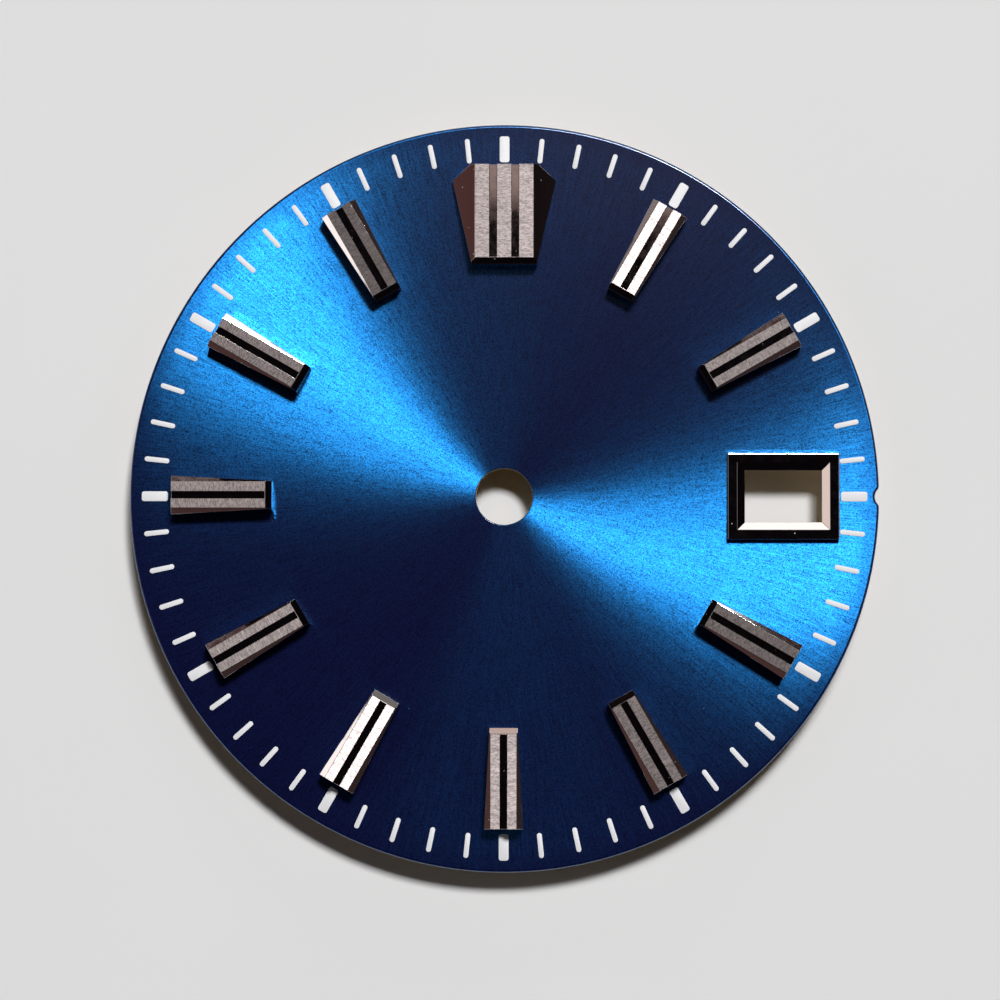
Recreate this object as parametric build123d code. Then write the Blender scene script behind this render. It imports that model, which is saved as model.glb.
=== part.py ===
from build123d import *

import os
from math import radians, tan

# A round watch dial with applied hour markers, a framed date window and a printed minute track.
# Sizes are in millimetres. The origin is the centre of the centre hole, in the plane of the back
# face. +Z points out of the dial's face, +Y to twelve o'clock and +X to three o'clock.
# A bearing is an angle in degrees, clockwise from twelve o'clock, as seen from the front.

# Dial plate and its lacquer
dial_dia = 28.5
plate_thickness = 0.40
lacquer_thickness = 0.03
lacquer_skirt_edge = 0.12
rim_round = 0.10
centre_hole_dia = 2.15

# Notch in the rim at three o'clock
rim_notch_radius = 0.40
rim_notch_depth = 0.16
notch_shoulder_round = 0.20

# Date window and the frame round it
frame_to_track = 0.08
window_width = 2.92
window_height = 1.97
frame_rim = 0.36
frame_bevel_width = 0.30
frame_bevel_drop = 0.20
frame_lip = 0.15
frame_edge_round = 0.04
plate_window_margin = 0.08
frame_foot_dia = 0.36

# All hour markers: heights are above the dial's face
marker_to_track = 0.20
marker_length = 3.81
marker_height = 1.00
inner_bevel_length = 0.23
inner_bevel_drop = 0.19
groove_depth = 0.22
groove_web = 0.03

# Baton markers
baton_names = ("01", "02", "04", "05", "06", "07", "08", "09", "10", "11")
baton_facet_angle = 43.0
baton_bar_width = 0.36
baton_groove_width = 0.27
baton_outer_width = 1.465
baton_inner_width = 1.065

# Wide marker at twelve o'clock
twelve_facet_angle = 40.0
twelve_bar_width = 0.552
twelve_groove_width = 0.287
twelve_outer_width = 2.585
twelve_widest_width = 3.96
twelve_corner_length = 0.56
twelve_inner_width = 2.48

# Feet of the markers and the frame, riveted over into countersinks in the back
marker_foot_dia = 0.50
marker_foot_inset = 0.95
foot_clearance = 0.01
foot_root = 0.10
rivet_head_spread = 0.10
rivet_head_height = 0.10

# Minute track
rim_to_track = 0.95
minute_mark_length = 0.95
minute_mark_width = 0.19
five_mark_length = 1.00
five_mark_width = 0.375
five_mark_round = 0.09
ink_thickness = 0.02

# Dial feet on the back, soldered into shallow sinks
dial_foot_angles = {"a": 45.0, "b": 222.0}
dial_foot_to_rim = 1.65
dial_foot_dia = 0.70
dial_foot_length = 1.30
dial_foot_tip_chamfer = 0.08
foot_flange_dia = 1.10
foot_sink_dia = 1.50
foot_sink_depth = 0.12
solder_step_at_flange = 0.02
solder_step_at_wall = 0.05

# How far every cut runs past what it cuts
overrun = 0.50

# Worked out from the sizes above
dial_radius = dial_dia / 2
face_height = plate_thickness + lacquer_thickness
track_radius = dial_radius - rim_to_track
track_inner_radius = track_radius - five_mark_length / 2
marker_outer_radius = track_inner_radius - marker_to_track
marker_inner_radius = marker_outer_radius - marker_length
bevel_start_radius = marker_inner_radius + inner_bevel_length
marker_foot_rows = (marker_outer_radius - marker_foot_inset, marker_inner_radius + marker_foot_inset)
baton_top_width = 2 * baton_bar_width + baton_groove_width
twelve_top_width = 3 * twelve_bar_width + 2 * twelve_groove_width
frame_height = frame_lip + frame_bevel_drop
frame_inner_width = window_width + 2 * frame_bevel_width
frame_inner_height = window_height + 2 * frame_bevel_width
frame_outer_width = frame_inner_width + 2 * frame_rim
frame_outer_height = frame_inner_height + 2 * frame_rim
date_radius = track_inner_radius - frame_to_track - frame_outer_width / 2
dial_foot_radius = dial_radius - dial_foot_to_rim
hour_angle = 360 / 12
minute_angle = 360 / 60
standing = (Align.CENTER, Align.CENTER, Align.MIN)


def turned(shape, bearing):
    """The shape, built at twelve o'clock, turned to a bearing."""
    return Rot(0, 0, -bearing) * shape


def rim_outline(inset):
    """The dial's outline drawn in by inset, with the round-shouldered notch at three o'clock."""
    notch_centre = dial_radius - rim_notch_depth + rim_notch_radius
    outline = Circle(dial_radius - inset) - Pos(notch_centre, 0) * Circle(rim_notch_radius + inset)
    return fillet(outline.vertices(), notch_shoulder_round - inset)


def round_topped_disc(inset, height):
    """A disc of the dial's outline whose upper edge is rounded all the way round."""
    disc = extrude(rim_outline(inset), height)
    top_edge = disc.faces().sort_by(Axis.Z)[-1].edges()
    return fillet(top_edge, rim_round - inset)


def riveted_foot(dia):
    """A round foot from the back face up into its marker, spread to a head in the countersink."""
    pin = Cylinder(dia / 2, face_height + foot_root, align=standing)
    head = Cone(dia / 2 + rivet_head_spread, dia / 2, rivet_head_height, align=standing)
    return pin + head


def foot_hole(dia):
    """The hole and countersink that a riveted foot passes through, a clearance larger all round."""
    radius = dia / 2 + foot_clearance
    bore = Pos(0, 0, -overrun) * Cylinder(radius, face_height + 2 * overrun, align=standing)
    countersink = Cone(radius + rivet_head_spread, radius, rivet_head_height, align=standing)
    return bore + countersink


def frame_foot_places():
    """Two corners of the frame, opposite each other, in the middle of its border."""
    border = frame_rim + frame_bevel_width
    across = (window_width + border) / 2
    up = (window_height + border) / 2
    return [Pos(date_radius - across, up), Pos(date_radius + across, -up)]


def marker_foot_holes():
    """Foot holes of all eleven markers."""
    pair = [Pos(0, row) * foot_hole(marker_foot_dia) for row in marker_foot_rows]
    hours = [*map(int, baton_names), 12]
    return [turned(hole, hour * hour_angle) for hour in hours for hole in pair]


def openings():
    """Everything that is cut through the plate and the lacquer alike."""
    depth = face_height + 2 * overrun
    bore = Pos(0, 0, -overrun) * Cylinder(centre_hole_dia / 2, depth, align=standing)
    window = Pos(date_radius, 0, -overrun) * Box(
        window_width + 2 * plate_window_margin,
        window_height + 2 * plate_window_margin,
        depth,
        align=standing,
    )
    frame_holes = [place * foot_hole(frame_foot_dia) for place in frame_foot_places()]
    return [bore, window, *frame_holes, *marker_foot_holes()]


def dial_foot_place(name):
    """Where a dial foot stands, as a location on the back face."""
    return Rot(0, 0, -dial_foot_angles[name]) * Pos(0, dial_foot_radius)


def dial_plate():
    """The brass blank, with a shallow sink in its back for each dial foot."""
    plate = round_topped_disc(lacquer_thickness, plate_thickness)
    sinks = [
        dial_foot_place(name)
        * Pos(0, 0, -overrun)
        * Cylinder(foot_sink_dia / 2, foot_sink_depth + overrun, align=standing)
        for name in dial_foot_angles
    ]
    return plate - openings() - sinks


def face_lacquer():
    """The lacquer film over the plate's face and rounded edge, with a skirt part way down its side."""
    film = round_topped_disc(0, face_height) - round_topped_disc(lacquer_thickness, plate_thickness)
    below = Pos(0, 0, -overrun) * Cylinder(
        dial_radius + overrun, lacquer_skirt_edge + overrun, align=standing
    )
    return film - below - openings()


def date_frame():
    """A rectangular frame round the window, its inner bevel mitred at the corners."""
    frame = Box(frame_outer_width, frame_outer_height, frame_height, align=standing)
    top_edges = frame.faces().sort_by(Axis.Z)[-1].edges()
    frame = fillet(top_edges, frame_edge_round)
    spread = overrun * frame_bevel_width / frame_bevel_drop
    bevel = loft(
        [
            Plane.XY.offset(frame_lip) * Rectangle(window_width, window_height),
            Plane.XY.offset(frame_height + overrun)
            * Rectangle(frame_inner_width + 2 * spread, frame_inner_height + 2 * spread),
        ]
    )
    mouth = Pos(0, 0, -overrun) * Box(
        window_width, window_height, frame_height + overrun, align=standing
    )
    frame = Pos(date_radius, 0, face_height) * (frame - bevel - mouth)
    feet = [place * riveted_foot(frame_foot_dia) for place in frame_foot_places()]
    return frame + feet


def side_cutter(top_half_width, reach, slope):
    """What lies outside the facet that slopes down from the marker's right-hand top edge."""
    drop = reach * tan(radians(slope))
    outline = Polyline(
        (top_half_width, marker_height),
        (top_half_width + reach, marker_height - drop),
        (top_half_width + reach, marker_height + overrun),
        (top_half_width, marker_height + overrun),
        close=True,
    )
    return extrude(Plane.XZ * make_face(outline), marker_outer_radius + overrun, both=True)


def inner_end_cutter(reach):
    """What lies beyond the bevel at the marker's inner end."""
    drop = (inner_bevel_length + overrun) * inner_bevel_drop / inner_bevel_length
    outline = Polyline(
        (bevel_start_radius, marker_height),
        (marker_inner_radius - overrun, marker_height - drop),
        (marker_inner_radius - overrun, marker_height + overrun),
        (bevel_start_radius, marker_height + overrun),
        close=True,
    )
    return extrude(Plane.YZ * make_face(outline), reach, both=True)


def groove_cutter(centre, width):
    """A groove in the marker's top, open at the outer end and closed by a thin web at the inner."""
    start = bevel_start_radius + groove_web
    length = marker_outer_radius - start + overrun
    corner = (Align.CENTER, Align.MIN, Align.MIN)
    cutter = Box(width, length, groove_depth + overrun, align=corner)
    return Pos(centre, start, marker_height - groove_depth) * cutter


def hour_marker(outline, slope, widest, top_width, groove_width, groove_centres):
    """A marker at twelve o'clock: a faceted block with grooves in its top and two riveted feet."""
    body = extrude(make_face(Polyline(*outline, close=True)), marker_height)
    reach = (widest - top_width) / 2 + overrun
    right = side_cutter(top_width / 2, reach, slope)
    body = body - right - mirror(right, about=Plane.YZ) - inner_end_cutter(widest)
    body = body - [groove_cutter(centre, groove_width) for centre in groove_centres]
    feet = [Pos(0, row) * riveted_foot(marker_foot_dia) for row in marker_foot_rows]
    return Pos(0, 0, face_height) * body + feet


def baton_marker():
    """A baton: straight sides that close in towards the centre, two bars and one groove."""
    outline = [
        (-baton_outer_width / 2, marker_outer_radius),
        (-baton_inner_width / 2, marker_inner_radius),
        (baton_inner_width / 2, marker_inner_radius),
        (baton_outer_width / 2, marker_outer_radius),
    ]
    return hour_marker(
        outline, baton_facet_angle, baton_outer_width, baton_top_width, baton_groove_width, [0]
    )


def twelve_marker():
    """The wide marker, with cut-off outer corners, three bars and two grooves."""
    corner_radius = marker_outer_radius - twelve_corner_length
    half = [
        (twelve_inner_width / 2, marker_inner_radius),
        (twelve_widest_width / 2, corner_radius),
        (twelve_outer_width / 2, marker_outer_radius),
    ]
    outline = half + [(-x, y) for x, y in reversed(half)]
    groove_centre = (twelve_bar_width + twelve_groove_width) / 2
    return hour_marker(
        outline,
        twelve_facet_angle,
        twelve_widest_width,
        twelve_top_width,
        twelve_groove_width,
        [-groove_centre, groove_centre],
    )


def printed_mark(outline, minute):
    """One stroke of ink on the face, with its long side along the radius."""
    stroke = Pos(0, track_radius, face_height) * extrude(outline, ink_thickness)
    return turned(stroke, minute * minute_angle)


def minute_marks():
    """The thin strokes with round ends, at every minute that isn't a five."""
    outline = Rot(0, 0, 90) * SlotOverall(minute_mark_length, minute_mark_width)
    return [printed_mark(outline, minute) for minute in range(60) if minute % 5]


def five_minute_marks():
    """The wide strokes at the hours."""
    outline = RectangleRounded(five_mark_width, five_mark_length, five_mark_round)
    return [printed_mark(outline, minute) for minute in range(0, 60, 5)]


def dial_foot(name):
    """A copper foot: a flange in the plate's sink and a pin that goes into the movement."""
    flange = Cylinder(foot_flange_dia / 2, foot_sink_depth, align=standing)
    pin = Pos(0, 0, -dial_foot_length) * Cylinder(dial_foot_dia / 2, dial_foot_length, align=standing)
    tip = pin.edges().group_by(Axis.Z)[0]
    return dial_foot_place(name) * (flange + chamfer(tip, dial_foot_tip_chamfer))


def foot_solder(name):
    """The ring of solder between a foot's flange and the wall of its sink."""
    flange_radius = foot_flange_dia / 2
    wall_radius = foot_sink_dia / 2
    section = Polyline(
        (flange_radius, foot_sink_depth),
        (wall_radius, foot_sink_depth),
        (wall_radius, solder_step_at_wall),
        (flange_radius, solder_step_at_flange),
        close=True,
    )
    return dial_foot_place(name) * revolve(Plane.XZ * make_face(section), Axis.Z)


def save(shape, node):
    """Write one node; a list of solids is written as a group."""
    if isinstance(shape, list):
        shape = Compound(children=shape)
    export_step(shape, f"parts/{node}.step")


os.makedirs("parts", exist_ok=True)
save(dial_plate(), "dial_plate")
save(face_lacquer(), "face_lacquer")
save(date_frame(), "date_frame")
baton = baton_marker()
for hour in baton_names:
    save(turned(baton, int(hour) * hour_angle), f"index_{hour}")
save(twelve_marker(), "index_12")
save(minute_marks(), "minute_marks")
save(five_minute_marks(), "five_minute_marks")
for foot_name in dial_foot_angles:
    save(dial_foot(foot_name), f"dial_foot_{foot_name}")
    save(foot_solder(foot_name), f"foot_solder_{foot_name}")
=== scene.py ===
from math import atan2, cos, degrees, pi, radians, sin, sqrt

import bmesh
import bpy
from mathutils import Matrix, Vector


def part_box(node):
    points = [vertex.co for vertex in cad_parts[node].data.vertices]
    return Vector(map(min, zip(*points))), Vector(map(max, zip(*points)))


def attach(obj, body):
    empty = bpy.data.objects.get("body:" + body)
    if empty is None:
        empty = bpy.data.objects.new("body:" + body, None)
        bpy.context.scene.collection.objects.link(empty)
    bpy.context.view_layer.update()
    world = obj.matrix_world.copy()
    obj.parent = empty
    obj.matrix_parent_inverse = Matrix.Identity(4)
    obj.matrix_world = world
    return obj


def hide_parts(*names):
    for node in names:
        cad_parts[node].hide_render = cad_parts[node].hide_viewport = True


# A round watch dial: a brass blank under blue sunray lacquer, with faceted hour markers, a date
# frame and a printed minute track. Each piece is modelled in millimetres, at its own place on the
# dial, and shrunk to metres when it is finished. Bearings run clockwise from twelve o'clock.

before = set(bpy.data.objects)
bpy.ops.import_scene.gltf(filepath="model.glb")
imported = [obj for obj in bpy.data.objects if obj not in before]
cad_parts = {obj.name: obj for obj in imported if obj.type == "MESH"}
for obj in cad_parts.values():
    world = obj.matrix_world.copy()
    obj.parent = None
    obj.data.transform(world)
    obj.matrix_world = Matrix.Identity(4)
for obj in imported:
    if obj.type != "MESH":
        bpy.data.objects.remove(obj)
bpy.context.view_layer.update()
MM = 0.001
hour_angle = 30
minute_angle = 6


def millimetres(corner):
    """A corner of a box, from metres to millimetres."""
    return [length / MM for length in corner]


plate_low, plate_high = map(millimetres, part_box("dial_plate"))
lacquer_low, lacquer_high = map(millimetres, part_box("face_lacquer"))
twelve_low, twelve_high = map(millimetres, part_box("index_12"))
date_low, date_high = map(millimetres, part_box("date_frame"))
foot_low, foot_high = map(millimetres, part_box("dial_foot_a"))

# Plate and lacquer
dial_radius = lacquer_high[1]
plate_top = plate_high[2]
face = lacquer_high[2]
lacquer_skirt_edge = lacquer_low[2]
lacquer_thickness = face - plate_top
rim_round = 0.10
blank_edge_break = 0.02
centre_hole_radius = 1.075
hole_edge_roll = 0.035
rim_sides = 720
bore_sides = 256
flat_ring = 0.01

# The quarter round at the centre hole: each point's share of it outward, and down from the face
roll_steps = ((0.0, 1.0), (0.08, 0.62), (0.29, 0.29), (0.62, 0.08), (1.0, 0.0))

# The face falls away very slightly past this radius, by this much for each square millimetre
rim_fall_start = 11.8
rim_fall = 0.0015

# Notch in the rim at three o'clock
notch_radius = 0.40
notch_depth = 0.16
notch_shoulder = 0.20
notch_steps = 14

# Date frame
date_radius = (date_low[0] + date_high[0]) / 2
frame_top = date_high[2]
window_width = 2.92
window_height = 1.97
window_margin = 0.08
frame_rim = 0.36
frame_bevel = 0.30
frame_lip = 0.15
frame_edge_round = 0.04
frame_foot_radius = 0.18

# Hour markers
marker_inner = twelve_low[1]
marker_outer = twelve_high[1]
marker_top = twelve_high[2]
inner_bevel = 0.23
inner_bevel_drop = 0.19
groove_depth = 0.22
groove_web = 0.03
edge_break = 0.009
edge_break_steps = 3
edge_break_angle = 20
facet_smoothing = 5
baton_bar = 0.36
baton_groove = 0.27
baton_outer_width = 1.465
baton_inner_width = 1.065
baton_facet_angle = 43.0
twelve_bar = 0.552
twelve_groove = 0.287
twelve_outer_width = 2.585
twelve_widest = twelve_high[0] - twelve_low[0]
twelve_corner = 0.56
twelve_inner_width = 2.48
twelve_facet_angle = 40.0
marker_foot_radius = 0.25
marker_foot_inset = 0.95
hours = (1, 2, 4, 5, 6, 7, 8, 9, 10, 11)

# Riveted feet
foot_clearance = 0.01
foot_root = 0.10
head_spread = 0.10
head_height = 0.10
rivet_sides = 64

# Minute track
track_radius = dial_radius - 0.95
stroke_length = 0.95
stroke_width = 0.19
stroke_corner = 0.093
five_length = 1.00
five_width = 0.375
five_corner = 0.09
ink_thickness = 0.02

# Dial feet
foot_bearings = {"a": 45.0, "b": 222.0}
foot_place_radius = dial_radius - 1.65
foot_tip = foot_low[2]
foot_radius = 0.35
flange_radius = 0.55
sink_radius = 0.75
sink_depth = 0.12
tip_chamfer = 0.08
solder_at_flange = 0.02
solder_at_wall = 0.05
foot_sides = 96

# How far a cutting tool runs past what it cuts
overrun = 0.50

# How faces, edges and points are told apart: by height, by how upright a normal is, by distance
height_tolerance = 1e-4
upright = 0.999
cut_tolerance = 1e-6
merge_distance = 1e-3

# Painted light and shade on each marker's brushing: a brightness per marker that stands in for light
# falling unevenly on the markers; and how far apart two markers' strokes are drawn
painted_light_level = {
    1: 1.0, 2: 0.82, 4: 0.98, 5: 1.0, 6: 0.85, 7: 1.0, 8: 0.90, 9: 1.45, 10: 1.45, 11: 0.70, 12: 0.82
}
brushing_shift = 7.3

# Camera: place and aim in millimetres, the height above the face
camera_place = (2.014, -9.561)
camera_height = 150
camera_aim = (-0.157, -0.135)
camera_roll = 0.081
camera_lens = 142.3

# Lamps and floor, in metres
lamp_distance = 1.5
floor_radius = 0.6


# Modelling helpers

def only(piece):
    """Select one piece and nothing else."""
    bpy.ops.object.select_all(action="DESELECT")
    piece.select_set(True)
    bpy.context.view_layer.objects.active = piece


def block(name, low, high):
    """A block between two corners."""
    middle = [(a + b) / 2 for a, b in zip(low, high)]
    bpy.ops.object.select_all(action="DESELECT")
    bpy.ops.mesh.primitive_cube_add(size=1, location=middle)
    piece = bpy.context.object
    piece.name = name
    piece.scale = [b - a for a, b in zip(low, high)]
    bpy.ops.object.transform_apply()
    return piece


def drum(name, radius, low, high, sides, x=0.0, y=0.0):
    """A cylinder standing between two heights."""
    bpy.ops.object.select_all(action="DESELECT")
    bpy.ops.mesh.primitive_cylinder_add(
        vertices=sides, radius=radius, depth=high - low, location=(x, y, (low + high) / 2)
    )
    piece = bpy.context.object
    piece.name = name
    bpy.ops.object.transform_apply()
    return piece


def turned_solid(name, profile, sides, x=0.0, y=0.0):
    """A solid turned about an upright axis, drawn up step by step from its lowest disc."""
    (radius, height), *steps = profile
    bpy.ops.object.select_all(action="DESELECT")
    bpy.ops.mesh.primitive_circle_add(
        vertices=sides, radius=radius, fill_type="NGON", location=(x, y, height)
    )
    piece = bpy.context.object
    piece.name = name
    bpy.ops.object.transform_apply()
    bpy.ops.object.mode_set(mode="EDIT")
    bpy.ops.mesh.select_all(action="SELECT")
    for next_radius, next_height in steps:
        bpy.ops.mesh.extrude_region_move(
            TRANSFORM_OT_translate={"value": (0, 0, next_height - height)}
        )
        share = next_radius / radius
        bpy.ops.transform.resize(value=(share, share, 1), center_override=(x, y, next_height))
        radius, height = next_radius, next_height
    bpy.ops.mesh.select_all(action="SELECT")
    bpy.ops.mesh.normals_make_consistent(inside=False)
    bpy.ops.object.mode_set(mode="OBJECT")
    return piece


def combine(piece, tool, operation):
    """Cut a tool out of a piece, or fuse it on, and clear the tool away."""
    change = piece.modifiers.new(operation, "BOOLEAN")
    change.operation = operation
    change.solver = "EXACT"
    change.object = tool
    only(piece)
    bpy.ops.object.modifier_apply(modifier=change.name)
    bpy.data.objects.remove(tool)
    return piece


def joined(name, pieces):
    """Several pieces as the shells of one."""
    bpy.ops.object.select_all(action="DESELECT")
    for piece in pieces:
        piece.select_set(True)
    bpy.context.view_layer.objects.active = pieces[0]
    bpy.ops.object.join()
    pieces[0].name = name
    return pieces[0]


def slice_off(piece, point, outward):
    """Cut a piece along a plane, and close it, leaving what lies behind the plane."""
    only(piece)
    bpy.ops.object.mode_set(mode="EDIT")
    bpy.ops.mesh.select_all(action="SELECT")
    bpy.ops.mesh.bisect(
        plane_co=point,
        plane_no=Vector(outward).normalized(),
        use_fill=True,
        clear_outer=True,
        threshold=cut_tolerance,
    )
    bpy.ops.object.mode_set(mode="OBJECT")


def choose(piece, kind, wanted):
    """Go into edit mode with just the wanted faces or edges selected."""
    only(piece)
    bpy.ops.object.mode_set(mode="EDIT")
    bpy.ops.mesh.select_mode(type=kind)
    bpy.ops.mesh.select_all(action="DESELECT")
    mesh = bmesh.from_edit_mesh(piece.data)
    for item in mesh.faces if kind == "FACE" else mesh.edges:
        if wanted(item):
            item.select_set(True)
    bmesh.update_edit_mesh(piece.data)


def round_edges(piece, wanted, width, segments):
    """Round the wanted edges."""
    choose(piece, "EDGE", wanted)
    bpy.ops.mesh.bevel(offset=width, segments=segments, affect="EDGES", clamp_overlap=False)
    bpy.ops.object.mode_set(mode="OBJECT")


def break_edges(piece):
    """Take the sharpness off every edge of a piece."""
    rounding = piece.modifiers.new("edge break", "BEVEL")
    rounding.width = edge_break
    rounding.segments = edge_break_steps
    rounding.limit_method = "ANGLE"
    rounding.angle_limit = radians(edge_break_angle)
    only(piece)
    bpy.ops.object.modifier_apply(modifier=rounding.name)


def ring_flat_face(piece, height, way):
    """Draw a ring just inside a flat face's rounded rim, so that its shading stays flat."""
    choose(
        piece,
        "FACE",
        lambda f: f.normal.z * way > upright
        and abs(f.calc_center_median().z - height) < height_tolerance,
    )
    bpy.ops.mesh.inset(thickness=flat_ring)
    bpy.ops.object.mode_set(mode="OBJECT")


def at_height(height):
    """A test for edges that lie at one height."""
    return lambda edge: all(abs(v.co.z - height) < height_tolerance for v in edge.verts)


def turned_copy(piece, name, bearing):
    """A copy with its own mesh, turned from twelve o'clock to a bearing."""
    copy = piece.copy()
    copy.data = piece.data.copy()
    copy.name = name
    bpy.context.collection.objects.link(copy)
    copy.rotation_euler.z = -radians(bearing)
    only(copy)
    bpy.ops.object.transform_apply()
    return copy


def bearing_place(bearing, radius):
    """Where a bearing and a radius meet."""
    return radius * sin(radians(bearing)), radius * cos(radians(bearing))


def hand_over(piece, materials, node, smooth_angle=30):
    """Shrink a finished piece to metres and put it in the place of its CAD node."""
    only(piece)
    bpy.ops.object.shade_smooth_by_angle(angle=radians(smooth_angle))
    piece.scale = (MM, MM, MM)
    bpy.ops.object.transform_apply()
    for material in materials:
        piece.data.materials.append(material)
    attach(piece, "root")
    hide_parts(node)


# Node helpers

def feed(tree, socket, value):
    """Set a socket to a value, or link it to another node's output."""
    if isinstance(value, bpy.types.NodeSocket):
        tree.links.new(value, socket)
    else:
        socket.default_value = value


def node_in(tree, kind, **settings):
    """A node with its settings, and its inputs set or linked by name."""
    node = tree.nodes.new(kind)
    inputs = settings.pop("inputs", {})
    for name, value in settings.items():
        setattr(node, name, value)
    for name, value in inputs.items():
        feed(tree, node.inputs[name], value)
    return node


def maths(tree, operation, first, second=0.0, third=0.0, clamp=False):
    """The result of one sum."""
    node = node_in(tree, "ShaderNodeMath", operation=operation, use_clamp=clamp)
    for socket, value in zip(node.inputs, (first, second, third)):
        feed(tree, socket, value)
    return node.outputs[0]


def vector_maths(tree, operation, *values):
    """The result of one vector sum."""
    node = node_in(tree, "ShaderNodeVectorMath", operation=operation)
    for socket, value in zip(node.inputs, values):
        feed(tree, socket, value)
    return node.outputs["Value" if operation == "LENGTH" else "Vector"]


def blend_colours(tree, share, first, second):
    """A colour between two colours, by the Mix node's own sockets for colours."""
    node = node_in(tree, "ShaderNodeMix", data_type="RGBA")
    for number, value in zip((0, 6, 7), (share, first, second)):
        feed(tree, node.inputs[number], value)
    return node.outputs[2]


def stretch(tree, value, low, high, new_low, new_high, way="LINEAR"):
    """A value carried from one range to another, and held there."""
    ends = {"From Min": low, "From Max": high, "To Min": new_low, "To Max": new_high}
    node = node_in(
        tree,
        "ShaderNodeMapRange",
        clamp=True,
        interpolation_type=way,
        inputs={"Value": value, **ends},
    )
    return node.outputs["Result"]


def new_group(name, inputs, outputs):
    """An empty node group with named sockets: (name, kind)."""
    tree = bpy.data.node_groups.new(name, "ShaderNodeTree")
    for label, kind in inputs:
        tree.interface.new_socket(label, in_out="INPUT", socket_type=kind)
    for label, kind in outputs:
        tree.interface.new_socket(label, in_out="OUTPUT", socket_type=kind)
    return tree, tree.nodes.new("NodeGroupInput"), tree.nodes.new("NodeGroupOutput")


def place_group(tree, group, **inputs):
    """A group's node in a material, with its inputs set or linked; spaces in names are underscores."""
    named = {name.replace("_", " "): value for name, value in inputs.items()}
    return node_in(tree, "ShaderNodeGroup", node_tree=group, inputs=named)


def new_material(name, **principled):
    """A material with a Principled shader set to the given values."""
    material = bpy.data.materials.new(name)
    material.use_nodes = True
    tree = material.node_tree
    shader = tree.nodes["Principled BSDF"]
    for label, value in principled.items():
        shader.inputs[label.replace("_", " ")].default_value = value
    return material, tree, shader


def coordinates(tree):
    """Object coordinates in millimetres."""
    place = node_in(tree, "ShaderNodeTexCoord").outputs["Object"]
    scale = node_in(tree, "ShaderNodeMapping", inputs={"Vector": place, "Scale": (1 / MM,) * 3})
    return scale.outputs["Vector"]


def noise(tree, vector, scale, detail, roughness):
    """Cloudy noise at a place."""
    inputs = {"Vector": vector, "Scale": scale, "Detail": detail, "Roughness": roughness}
    return node_in(tree, "ShaderNodeTexNoise", inputs=inputs).outputs["Fac"]


def speckle(tree, vector, scale=1.0):
    """A random value from 0 to 1 for each small cell of the surface."""
    cells = node_in(tree, "ShaderNodeTexVoronoi", inputs={"Vector": vector, "Scale": scale})
    return node_in(tree, "ShaderNodeSeparateColor", inputs={"Color": cells.outputs["Color"]}).outputs["Red"]


def add_relief(tree, shader, height, strength, distance):
    """Small bumps on a shader's surface, as high as the distance where the height is 1."""
    relief = {"Height": height, "Strength": strength, "Distance": distance}
    bump = node_in(tree, "ShaderNodeBump", inputs=relief)
    tree.links.new(bump.outputs["Normal"], shader.inputs["Normal"])


# Effects that several finishes share

def sunray_group():
    """Fine strokes that run out from the dial's centre, and the direction across them."""
    tree, given, result = new_group(
        "sunray_strokes",
        [("Place", "NodeSocketVector"), ("Strokes", "NodeSocketFloat"), ("Break Up", "NodeSocketFloat")],
        [("Value", "NodeSocketFloat"), ("Across", "NodeSocketVector")],
    )
    flat = vector_maths(tree, "MULTIPLY", given.outputs["Place"], (1, 1, 0))
    radius = vector_maths(tree, "LENGTH", flat)
    unit = vector_maths(tree, "NORMALIZE", flat)
    around = vector_maths(tree, "SCALE", unit)
    tree.links.new(given.outputs["Strokes"], around.node.inputs["Scale"])
    along = maths(tree, "MULTIPLY", radius, given.outputs["Break Up"])
    lift = node_in(tree, "ShaderNodeCombineXYZ", inputs={"Z": along}).outputs["Vector"]
    place = vector_maths(tree, "ADD", around, lift)
    tree.links.new(noise(tree, place, 1.0, 1.0, 0.7), result.inputs["Value"])
    across = vector_maths(tree, "CROSS_PRODUCT", (0, 0, 1), unit)
    tree.links.new(across, result.inputs["Across"])
    return tree


def brushed_group():
    """Straight brush strokes: fine across the strokes and drawn out along them."""
    tree, given, result = new_group(
        "brush_strokes",
        [("Place", "NodeSocketVector"), ("Fineness", "NodeSocketVector")],
        [("Value", "NodeSocketFloat")],
    )
    place = vector_maths(tree, "MULTIPLY", given.outputs["Place"], given.outputs["Fineness"])
    tree.links.new(noise(tree, place, 1.0, 3.0, 0.7), result.inputs["Value"])
    return tree


def dust_group():
    """Scattered specks: a mask that is 1 inside each speck."""
    tree, given, result = new_group(
        "dust_specks",
        [
            ("Place", "NodeSocketVector"),
            ("Spacing", "NodeSocketFloat"),
            ("Speck Size", "NodeSocketFloat"),
            ("Share", "NodeSocketFloat"),
        ],
        [("Mask", "NodeSocketFloat")],
    )
    scale = maths(tree, "DIVIDE", 1.0, given.outputs["Spacing"])
    cells = node_in(
        tree, "ShaderNodeTexVoronoi", inputs={"Vector": given.outputs["Place"], "Scale": scale}
    )
    pick = node_in(tree, "ShaderNodeSeparateColor", inputs={"Color": cells.outputs["Color"]})
    size = maths(tree, "MULTIPLY", given.outputs["Speck Size"], scale)
    own_size = maths(tree, "MULTIPLY", size, pick.outputs["Green"])
    near = maths(tree, "LESS_THAN", cells.outputs["Distance"], own_size)
    kept = maths(tree, "LESS_THAN", pick.outputs["Red"], given.outputs["Share"])
    tree.links.new(maths(tree, "MULTIPLY", near, kept), result.inputs["Mask"])
    return tree


sunray_strokes = sunray_group()
brush_strokes = brushed_group()
dust_specks = dust_group()


# Finishes

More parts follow.
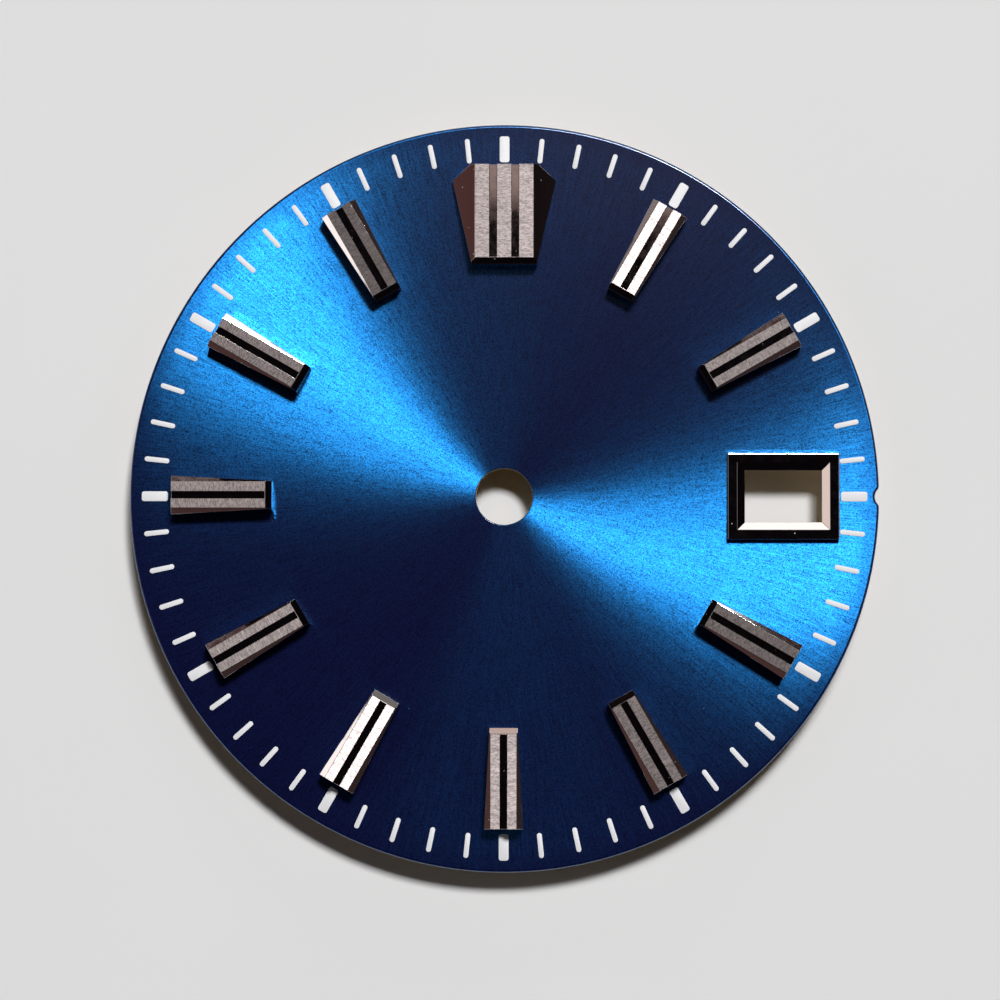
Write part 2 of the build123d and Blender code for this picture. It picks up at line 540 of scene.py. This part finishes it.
def lacquer_material():
    """Blue lacquer over radial brushing, under a clear coat: bright metal in a deeper blue body."""
    material, tree, shader = new_material("blue_sunray", Metallic=1.0, Anisotropic=1.0)
    body = node_in(tree, "ShaderNodeBsdfPrincipled", inputs={"Roughness": 0.6, "Specular IOR Level": 0.0})
    for layer in (shader, body):
        layer.inputs["Coat Weight"].default_value = 1.0
        layer.inputs["Coat Roughness"].default_value = 0.14
        layer.inputs["Coat IOR"].default_value = 1.5
    whole = node_in(tree, "ShaderNodeMixShader", inputs={"Fac": 0.06})
    tree.links.new(shader.outputs["BSDF"], whole.inputs[1])
    tree.links.new(body.outputs["BSDF"], whole.inputs[2])
    tree.links.new(whole.outputs["Shader"], tree.nodes["Material Output"].inputs["Surface"])
    place = coordinates(tree)
    radius = vector_maths(tree, "LENGTH", vector_maths(tree, "MULTIPLY", place, (1, 1, 0)))
    inner = place_group(tree, sunray_strokes, Place=place, Strokes=95.0, Break_Up=1.0)
    outer = place_group(tree, sunray_strokes, Place=place, Strokes=270.0, Break_Up=1.0)
    tree.links.new(outer.outputs["Across"], shader.inputs["Tangent"])
    outward = stretch(tree, radius, 2.5, 8.0, 0.0, 1.0)
    apart = maths(tree, "SUBTRACT", outer.outputs["Value"], inner.outputs["Value"])
    streaks = maths(tree, "MULTIPLY_ADD", apart, outward, inner.outputs["Value"])
    both = maths(tree, "MULTIPLY_ADD", streaks, 1.2, speckle(tree, place, 34.0))
    shade = stretch(tree, both, 0.5, 1.7, 0.0, 1.0)
    blue = blend_colours(tree, shade, (0.002, 0.018, 0.050, 1), (0.010, 0.168, 0.470, 1))
    # The base colour darkens over the last millimetre towards the rim
    rim_share = stretch(tree, radius, dial_radius - 1.0, dial_radius, 0.0, 0.5, "SMOOTHSTEP")
    rim_darkened = blend_colours(tree, rim_share, blue, (0.001, 0.015, 0.06, 1))
    dust = place_group(tree, dust_specks, Place=place, Spacing=1.5, Speck_Size=0.05, Share=0.2)
    colour = blend_colours(tree, dust.outputs["Mask"], rim_darkened, (0.25, 0.27, 0.32, 1))
    tree.links.new(colour, shader.inputs["Base Color"])
    navy = blend_colours(tree, shade, (0.03, 0.035, 0.30, 1), (0.07, 0.085, 0.66, 1))
    tree.links.new(navy, body.inputs["Base Color"])
    tree.links.new(stretch(tree, radius, 1.0, 9.0, 0.37, 0.315), shader.inputs["Roughness"])
    past = maths(tree, "MAXIMUM", maths(tree, "SUBTRACT", radius, rim_fall_start), 0.0)
    fall = maths(tree, "MULTIPLY", maths(tree, "MULTIPLY", past, past), -rim_fall)
    add_relief(tree, shader, fall, 1.0, MM)
    return material


def polished_material(name, colour):
    """Plated brass with a mirror polish, faint wipe marks and a little dust."""
    material, tree, shader = new_material(name)
    place = coordinates(tree)
    haze = noise(tree, place, 3.0, 4.0, 0.6)
    tone = blend_colours(tree, haze, tuple(c * 0.94 for c in colour) + (1,), tuple(colour) + (1,))
    dust = place_group(tree, dust_specks, Place=place, Spacing=0.2, Speck_Size=0.026, Share=0.28)
    mask = dust.outputs["Mask"]
    tree.links.new(blend_colours(tree, mask, tone, (0.50, 0.48, 0.48, 1)), shader.inputs["Base Color"])
    tree.links.new(maths(tree, "SUBTRACT", 1.0, mask), shader.inputs["Metallic"])
    polish = stretch(tree, haze, 0.35, 0.7, 0.03, 0.07)
    tree.links.new(maths(tree, "MULTIPLY_ADD", mask, 0.6, polish), shader.inputs["Roughness"])
    return material


def brushed_bar_material():
    """The flat tops of the markers, brushed across by hand, so that the strokes wander a little."""
    material, tree, shader = new_material("marker_brushed", Metallic=0.80, Anisotropic=1.0)
    place = node_in(tree, "ShaderNodeAttribute", attribute_name="bar_place").outputs["Vector"]
    run = node_in(tree, "ShaderNodeAttribute", attribute_name="bar_run").outputs["Vector"]
    level = node_in(tree, "ShaderNodeAttribute", attribute_name="bar_painted_light").outputs["Fac"]
    strokes = place_group(tree, brush_strokes, Place=place, Fineness=(0.8, 9.0, 1.0)).outputs["Value"]
    wander = vector_maths(tree, "SCALE", vector_maths(tree, "CROSS_PRODUCT", (0, 0, 1), run))
    tree.links.new(stretch(tree, strokes, 0.3, 0.7, -0.10, 0.10), wander.node.inputs["Scale"])
    tree.links.new(vector_maths(tree, "ADD", run, wander), shader.inputs["Tangent"])
    scratches = speckle(tree, vector_maths(tree, "MULTIPLY", place, (11.0, 38.0, 1.0)))
    shade = stretch(tree, scratches, 0.0, 0.8, 0.32, 0.715)
    # Each marker's painted light and shade scales the colour of its bars
    bright = maths(tree, "MULTIPLY", shade, level, clamp=True)
    colour = blend_colours(tree, bright, (0, 0, 0, 1), (1.0, 0.86, 0.84, 1))
    tree.links.new(colour, shader.inputs["Base Color"])
    tree.links.new(stretch(tree, strokes, 0.3, 0.7, 0.54, 0.48), shader.inputs["Roughness"])
    add_relief(tree, shader, strokes, 1.0, 0.004 * MM)
    return material


def ink_material():
    """White printing ink."""
    material, tree, shader = new_material("white_ink", Roughness=0.55)
    place = coordinates(tree)
    cloud = noise(tree, place, 12.0, 3.0, 0.6)
    colour = blend_colours(tree, cloud, (0.79, 0.79, 0.81, 1), (0.86, 0.86, 0.88, 1))
    tree.links.new(colour, shader.inputs["Base Color"])
    add_relief(tree, shader, cloud, 0.2, 0.002 * MM)
    return material


def brass_material():
    """The bare brass blank, brushed straight across its back."""
    material, tree, shader = new_material("brushed_brass", Metallic=1.0, Anisotropic=0.6)
    place = coordinates(tree)
    strokes = place_group(tree, brush_strokes, Place=place, Fineness=(0.35, 22.0, 1.0))
    tone = stretch(tree, strokes.outputs["Value"], 0.3, 0.7, 0.0, 1.0)
    across = node_in(tree, "ShaderNodeCombineXYZ", inputs={"Y": 1.0}).outputs["Vector"]
    tree.links.new(across, shader.inputs["Tangent"])
    brass = blend_colours(tree, tone, (0.60, 0.43, 0.19, 1), (0.78, 0.60, 0.30, 1))
    stain = stretch(tree, noise(tree, place, 0.35, 4.0, 0.6), 0.45, 0.75, 0.0, 0.5)
    tree.links.new(blend_colours(tree, stain, brass, (0.50, 0.33, 0.14, 1)), shader.inputs["Base Color"])
    tree.links.new(stretch(tree, tone, 0.0, 1.0, 0.32, 0.42), shader.inputs["Roughness"])
    return material


def dull_metal_material(name, light, dark, roughness):
    """Unfinished metal with a mottled, slightly uneven surface."""
    material, tree, shader = new_material(name, Metallic=1.0)
    place = coordinates(tree)
    cloud = noise(tree, place, 4.0, 5.0, 0.65)
    mottle = stretch(tree, cloud, 0.35, 0.7, 0.0, 1.0)
    tree.links.new(blend_colours(tree, mottle, dark + (1,), light + (1,)), shader.inputs["Base Color"])
    tree.links.new(stretch(tree, cloud, 0.3, 0.7, roughness, roughness + 0.15), shader.inputs["Roughness"])
    add_relief(tree, shader, cloud, 0.4, 0.01 * MM)
    return material


blue_sunray = lacquer_material()
marker_polished = polished_material("marker_polished", (0.74, 0.69, 0.67))
marker_brushed = brushed_bar_material()
frame_polished = polished_material("frame_polished", (0.72, 0.69, 0.68))
white_ink = ink_material()
brushed_brass = brass_material()
copper = dull_metal_material("drawn_copper", (0.78, 0.44, 0.29), (0.58, 0.29, 0.18), 0.25)
solder = dull_metal_material("tin_solder", (0.66, 0.66, 0.66), (0.46, 0.46, 0.47), 0.35)


# Plate and lacquer

def swept(centre, angle, steps):
    """Carry the selected point round a centre, drawing its path as an edge."""
    bpy.ops.mesh.spin(steps=steps, angle=radians(angle), center=(*centre, 0), axis=(0, 0, -1))


def rolled_disc(name, inset, low, high, segments):
    """A disc of the dial's outline, drawn in by inset, with its upper edge rounded over."""
    rim = dial_radius - inset
    notch_centre = dial_radius - notch_depth + notch_radius
    shoulder_reach = dial_radius - notch_shoulder
    shoulder_gap = notch_radius + notch_shoulder
    shoulder_x = (shoulder_reach**2 - shoulder_gap**2 + notch_centre**2) / (2 * notch_centre)
    shoulder_y = sqrt(shoulder_reach**2 - shoulder_x**2)
    notch_turn = degrees(atan2(shoulder_y, notch_centre - shoulder_x))
    rim_start = degrees(atan2(shoulder_y, shoulder_x))
    bpy.ops.object.select_all(action="DESELECT")
    bpy.ops.mesh.primitive_plane_add(size=1, location=(0, 0, 0))
    disc = bpy.context.object
    disc.name = name
    bpy.ops.object.mode_set(mode="EDIT")
    bpy.ops.mesh.select_mode(type="VERT")
    bpy.ops.mesh.select_all(action="SELECT")
    bpy.ops.mesh.merge(type="CENTER")
    bpy.ops.transform.translate(value=(notch_centre - notch_radius - inset, 0, 0))
    swept((notch_centre, 0), -notch_turn, notch_steps)
    swept((shoulder_x, shoulder_y), notch_turn + rim_start, notch_steps)
    swept((0, 0), 360 - 2 * rim_start, rim_sides)
    swept((shoulder_x, -shoulder_y), notch_turn + rim_start, notch_steps)
    swept((notch_centre, 0), -notch_turn, notch_steps)
    bpy.ops.mesh.select_all(action="SELECT")
    bpy.ops.mesh.remove_doubles(threshold=merge_distance)
    bpy.ops.mesh.edge_face_add()
    bpy.ops.transform.translate(value=(0, 0, low))
    bpy.ops.mesh.extrude_region_move(TRANSFORM_OT_translate={"value": (0, 0, high - low)})
    bpy.ops.mesh.select_all(action="SELECT")
    bpy.ops.mesh.normals_make_consistent(inside=False)
    bpy.ops.object.mode_set(mode="OBJECT")
    round_edges(disc, at_height(high), rim_round - inset, segments)
    ring_flat_face(disc, high, 1)
    return disc


def window_tool():
    """The opening in the plate behind the date frame."""
    half_width = window_width / 2 + window_margin
    half_height = window_height / 2 + window_margin
    return block(
        "window",
        (date_radius - half_width, -half_height, -overrun),
        (date_radius + half_width, half_height, face + overrun),
    )


def frame_foot_places():
    """Two corners of the date frame, opposite each other."""
    border = frame_rim + frame_bevel
    across = (window_width + border) / 2
    up = (window_height + border) / 2
    return [(date_radius - across, up), (date_radius + across, -up)]


def marker_foot_rows():
    """How far from the dial's centre a marker's two feet are."""
    return marker_outer - marker_foot_inset, marker_inner + marker_foot_inset


def foot_hole_tools():
    """The holes and countersinks for every riveted foot, as one tool."""
    places = [(x, y, frame_foot_radius) for x, y in frame_foot_places()]
    for hour in (*hours, 12):
        for row in marker_foot_rows():
            places.append((*bearing_place(hour * hour_angle, row), marker_foot_radius))
    tools = []
    for x, y, radius in places:
        bore = radius + foot_clearance
        spread = bore + head_spread
        profile = [(spread, -overrun), (spread, 0), (bore, head_height), (bore, face + overrun)]
        tools.append(turned_solid("foot hole", profile, rivet_sides, x, y))
    return joined("foot holes", tools)


def dial_plate():
    """The brass blank, with its holes and the sinks for the dial feet."""
    plate = rolled_disc("brass_blank", lacquer_thickness, 0, plate_top, 4)
    round_edges(plate, at_height(0), blank_edge_break, 2)
    ring_flat_face(plate, 0, -1)
    combine(plate, drum("bore", centre_hole_radius, -overrun, face + overrun, bore_sides), "DIFFERENCE")
    combine(plate, window_tool(), "DIFFERENCE")
    combine(plate, foot_hole_tools(), "DIFFERENCE")
    for bearing in foot_bearings.values():
        x, y = bearing_place(bearing, foot_place_radius)
        sink = drum("sink", sink_radius, -overrun, sink_depth, foot_sides, x, y)
        combine(plate, sink, "DIFFERENCE")
    hand_over(plate, [brushed_brass], "dial_plate")


def face_lacquer():
    """The film of lacquer, open where the plate is open."""
    film = rolled_disc("blue_face", 0, lacquer_skirt_edge, face, 8)
    combine(film, rolled_disc("inside", lacquer_thickness, -overrun, plate_top, 4), "DIFFERENCE")
    profile = [(centre_hole_radius, -overrun)]
    for out, down in roll_steps:
        profile.append((centre_hole_radius + out * hole_edge_roll, face - down * hole_edge_roll))
    profile.append((centre_hole_radius + hole_edge_roll, face + overrun))
    combine(film, turned_solid("bore", profile, bore_sides), "DIFFERENCE")
    combine(film, window_tool(), "DIFFERENCE")
    hand_over(film, [blue_sunray], "face_lacquer")


# Riveted feet, markers and frame

def riveted_foot(x, y, radius):
    """A foot from the back face up into what it carries, spread to a head."""
    profile = [(radius + head_spread, 0), (radius, head_height), (radius, face + foot_root)]
    return turned_solid("foot", profile, rivet_sides, x, y)


def hour_marker(name, half_outline, facet_angle, top_width, groove_width, groove_centres):
    """A marker at twelve o'clock, cut from a block as the real one is cut from a bar."""
    widest = max(x for x, y in half_outline)
    body = block(name, (-widest, marker_inner, face), (widest, marker_outer, marker_top))
    for (x, y), (next_x, next_y) in zip(half_outline, half_outline[1:]):
        for side in (-1, 1):
            slice_off(body, (side * x, y, 0), (side * (next_y - y), x - next_x, 0))
    slope = radians(facet_angle)
    for side in (-1, 1):
        slice_off(body, (side * top_width / 2, 0, marker_top), (side * sin(slope), 0, cos(slope)))
    slice_off(body, (0, marker_inner + inner_bevel, marker_top), (0, -inner_bevel_drop, inner_bevel))
    for centre in groove_centres:
        groove = block(
            "groove",
            (centre - groove_width / 2, marker_inner + inner_bevel + groove_web, marker_top - groove_depth),
            (centre + groove_width / 2, marker_outer + overrun, marker_top + overrun),
        )
        combine(body, groove, "DIFFERENCE")
    for row in marker_foot_rows():
        combine(body, riveted_foot(0, row, marker_foot_radius), "UNION")
    break_edges(body)
    for polygon in body.data.polygons:
        on_top = polygon.normal.z > upright and polygon.center.z > marker_top - height_tolerance
        polygon.material_index = int(on_top)
    body.data.attributes.new("bar_place", "FLOAT_VECTOR", "POINT")
    body.data.attributes.new("bar_run", "FLOAT_VECTOR", "POINT")
    body.data.attributes.new("bar_painted_light", "FLOAT", "POINT")
    return body


def keep_bar_place(piece, hour):
    """Store each point's place on the marker, which way it will point, and the painted light and shade of
    its bars.
    """
    kept = piece.data.attributes
    shift = Vector((0, hour * brushing_shift, hour * brushing_shift))
    pointing = Vector((*bearing_place(hour * hour_angle, 1), 0))
    for vertex in piece.data.vertices:
        kept["bar_place"].data[vertex.index].vector = vertex.co + shift
        kept["bar_run"].data[vertex.index].vector = pointing
        kept["bar_painted_light"].data[vertex.index].value = painted_light_level[hour]


def hour_markers():
    """Ten batons and the wide marker at twelve."""
    metal = [marker_polished, marker_brushed]
    half_outline = [(baton_inner_width / 2, marker_inner), (baton_outer_width / 2, marker_outer)]
    top_width = 2 * baton_bar + baton_groove
    baton = hour_marker("baton", half_outline, baton_facet_angle, top_width, baton_groove, [0])
    for hour in hours:
        keep_bar_place(baton, hour)
        piece = turned_copy(baton, f"marker_{hour:02d}", hour * hour_angle)
        hand_over(piece, metal, f"index_{hour:02d}", facet_smoothing)
    bpy.data.objects.remove(baton)
    half_outline = [
        (twelve_inner_width / 2, marker_inner),
        (twelve_widest / 2, marker_outer - twelve_corner),
        (twelve_outer_width / 2, marker_outer),
    ]
    centre = (twelve_bar + twelve_groove) / 2
    top_width = 3 * twelve_bar + 2 * twelve_groove
    twelve = hour_marker(
        "marker_12", half_outline, twelve_facet_angle, top_width, twelve_groove, [-centre, centre]
    )
    keep_bar_place(twelve, 12)
    hand_over(twelve, metal, "index_12", facet_smoothing)


def date_frame():
    """The frame round the date window, its inner bevel mitred at the corners."""
    half_width = window_width / 2 + frame_bevel + frame_rim
    half_height = window_height / 2 + frame_bevel + frame_rim
    body = block(
        "date_surround",
        (date_radius - half_width, -half_height, face),
        (date_radius + half_width, half_height, frame_top),
    )
    round_edges(body, at_height(frame_top), frame_edge_round, 4)
    mouth = block(
        "mouth",
        (date_radius - window_width / 2, -window_height / 2, -overrun),
        (date_radius + window_width / 2, window_height / 2, face + frame_lip),
    )
    choose(mouth, "FACE", lambda f: f.normal.z > upright)
    rise = frame_top - face - frame_lip + overrun
    spread = frame_bevel * rise / (rise - overrun)
    bpy.ops.mesh.extrude_region_move(TRANSFORM_OT_translate={"value": (0, 0, rise)})
    bpy.ops.transform.resize(
        value=(1 + 2 * spread / window_width, 1 + 2 * spread / window_height, 1),
        center_override=(date_radius, 0, frame_top + overrun),
    )
    bpy.ops.object.mode_set(mode="OBJECT")
    combine(body, mouth, "DIFFERENCE")
    for x, y in frame_foot_places():
        combine(body, riveted_foot(x, y, frame_foot_radius), "UNION")
    break_edges(body)
    hand_over(body, [frame_polished], "date_frame", facet_smoothing)


# Printed track

def stroke(name, width, length, corner):
    """One stroke of ink at twelve o'clock, with its long side along the radius."""
    body = block(
        name,
        (-width / 2, track_radius - length / 2, face),
        (width / 2, track_radius + length / 2, face + ink_thickness),
    )
    round_edges(body, lambda e: abs(e.verts[0].co.z - e.verts[1].co.z) > ink_thickness / 2, corner, 5)
    round_edges(body, at_height(face + ink_thickness), ink_thickness / 2, 2)
    return body


def track():
    """The strokes at every minute, and the wide strokes at the hours."""
    thin = stroke("thin stroke", stroke_width, stroke_length, stroke_corner)
    wide = stroke("wide stroke", five_width, five_length, five_corner)
    thins = [turned_copy(thin, "stroke", minute * minute_angle) for minute in range(60) if minute % 5]
    wides = [turned_copy(wide, "stroke", minute * minute_angle) for minute in range(0, 60, 5)]
    bpy.data.objects.remove(thin)
    bpy.data.objects.remove(wide)
    hand_over(joined("minute_strokes", thins), [white_ink], "minute_marks")
    hand_over(joined("hour_strokes", wides), [white_ink], "five_minute_marks")


# Dial feet

def dial_feet():
    """The two copper feet on the back, each with its ring of solder."""
    for name, bearing in foot_bearings.items():
        x, y = bearing_place(bearing, foot_place_radius)
        profile = [
            (foot_radius - tip_chamfer, foot_tip),
            (foot_radius, foot_tip + tip_chamfer),
            (foot_radius, 0),
            (flange_radius, 0),
            (flange_radius, sink_depth),
        ]
        foot = turned_solid(f"copper_foot_{name}", profile, foot_sides, x, y)
        hand_over(foot, [copper], f"dial_foot_{name}")
        section = [
            (flange_radius, solder_at_flange),
            (sink_radius, solder_at_wall),
            (sink_radius, sink_depth),
        ]
        ring = turned_solid(f"solder_ring_{name}", section, foot_sides, x, y)
        flange = drum("flange", flange_radius, -overrun, sink_depth + overrun, foot_sides, x, y)
        combine(ring, flange, "DIFFERENCE")
        hand_over(ring, [solder], f"foot_solder_{name}")


dial_plate()
face_lacquer()
hour_markers()
date_frame()
track()
dial_feet()


# Camera, floor and light

def from_bearing(azimuth, elevation, distance):
    """A place in metres: azimuth runs counter-clockwise from three o'clock, both in degrees."""
    a, e = radians(azimuth), radians(elevation)
    return Vector((cos(a) * cos(e), sin(a) * cos(e), sin(e))) * distance


def camera():
    """The photograph's camera: nearly straight above, leaning a little towards six o'clock."""
    place = Vector((*camera_place, face + camera_height)) * MM
    aim = Vector((*camera_aim, face)) * MM
    back = (place - aim).normalized()
    right = Vector((0, 1, 0)).cross(back).normalized()
    level = Matrix((right, back.cross(right), back)).transposed()
    turned = level @ Matrix.Rotation(radians(camera_roll), 3, "Z")
    data = bpy.data.cameras.new("camera")
    data.lens = camera_lens
    data.sensor_width = 36
    data.clip_start = 0.005
    data.clip_end = 5
    item = bpy.data.objects.new("camera", data)
    item.matrix_world = Matrix.Translation(place) @ turned.to_4x4()
    bpy.context.collection.objects.link(item)
    bpy.context.scene.camera = item


def softbox(name, azimuth, elevation, wide, tall, brightness, colour=(1, 1, 1)):
    """A soft lamp that faces the dial, so many degrees wide and tall as the dial sees it."""
    data = bpy.data.lights.new(name, "AREA")
    data.shape = "RECTANGLE"
    data.size = lamp_distance * radians(wide)
    data.size_y = lamp_distance * radians(tall)
    data.energy = pi * data.size * data.size_y * brightness
    data.color = colour
    item = bpy.data.objects.new(name, data)
    item.location = from_bearing(azimuth, elevation, lamp_distance)
    item.rotation_euler = (-item.location).to_track_quat("-Z", "Y").to_euler()
    item.visible_camera = False
    bpy.context.collection.objects.link(item)


def floor():
    """A plain pale floor under the dial feet."""
    bpy.ops.object.select_all(action="DESELECT")
    bpy.ops.mesh.primitive_circle_add(
        vertices=128, radius=floor_radius, fill_type="NGON", location=(0, 0, foot_tip * MM)
    )
    sheet = bpy.context.object
    sheet.name = "floor"
    material, tree, shader = new_material("pale_floor", Roughness=0.9, Specular_IOR_Level=0.1)
    cloud = noise(tree, coordinates(tree), 0.05, 3.0, 0.5)
    tone = blend_colours(tree, cloud, (0.78, 0.78, 0.78, 1), (0.82, 0.82, 0.82, 1))
    tree.links.new(tone, shader.inputs["Base Color"])
    sheet.data.materials.append(material)


def surroundings():
    """A dim studio, black overhead, with a faint warm glow low down, stronger to the left."""
    world = bpy.data.worlds.new("studio")
    bpy.context.scene.world = world
    world.use_nodes = True
    tree = world.node_tree
    way = node_in(tree, "ShaderNodeTexCoord").outputs["Generated"]
    parts = node_in(tree, "ShaderNodeSeparateXYZ", inputs={"Vector": way})
    side = stretch(tree, parts.outputs["X"], -0.9, 0.9, 0.0, 1.0)
    low = blend_colours(tree, side, (0.085, 0.044, 0.042, 1), (0.034, 0.023, 0.023, 1))
    height = stretch(tree, parts.outputs["Z"], 0.13, 0.19, 0.0, 1.0)
    glow = blend_colours(tree, height, low, (0.003, 0.002, 0.003, 1))
    tree.links.new(glow, tree.nodes["Background"].inputs["Color"])


camera()
softbox("key", 65, 64, 6.9, 8.6, 110)
softbox("second", 79, 64, 6.9, 8.6, 55)
softbox("panel_left", 180, 44, 30, 22, 0.35)
softbox("panel_right", 0, 44, 30, 22, 0.35)
softbox("card_right_back", 66.8, 1.6, 17, 3.6, 1.6)
softbox("card_left_back", 156, 1.6, 9.4, 3.6, 1.3)
softbox("card_left_back_dim", 145, 1.6, 9, 3.6, 0.19)
softbox("card_left_front", 196.4, 5, 12, 5, 1.3)
softbox("card_back", 88, 22, 22, 10, 1.6, (1.0, 0.93, 0.90))
softbox("card_back_low", 88, 11.5, 22, 8, 0.7, (0.95, 0.76, 0.70))
softbox("card_left", 178, 27, 20, 8, 1.0, (1.0, 0.82, 0.76))
softbox("card_right_low", 62, 11, 12, 6, 0.2)
softbox("card_left_brown", 172, 8.7, 8, 3, 0.03, (1.0, 0.35, 0.30))
softbox("card_overhead", 85, 79.05, 5, 5.4, 0.35, (1.0, 0.75, 0.70))
floor()
surroundings()

bpy.context.scene.view_settings.view_transform = "Standard"
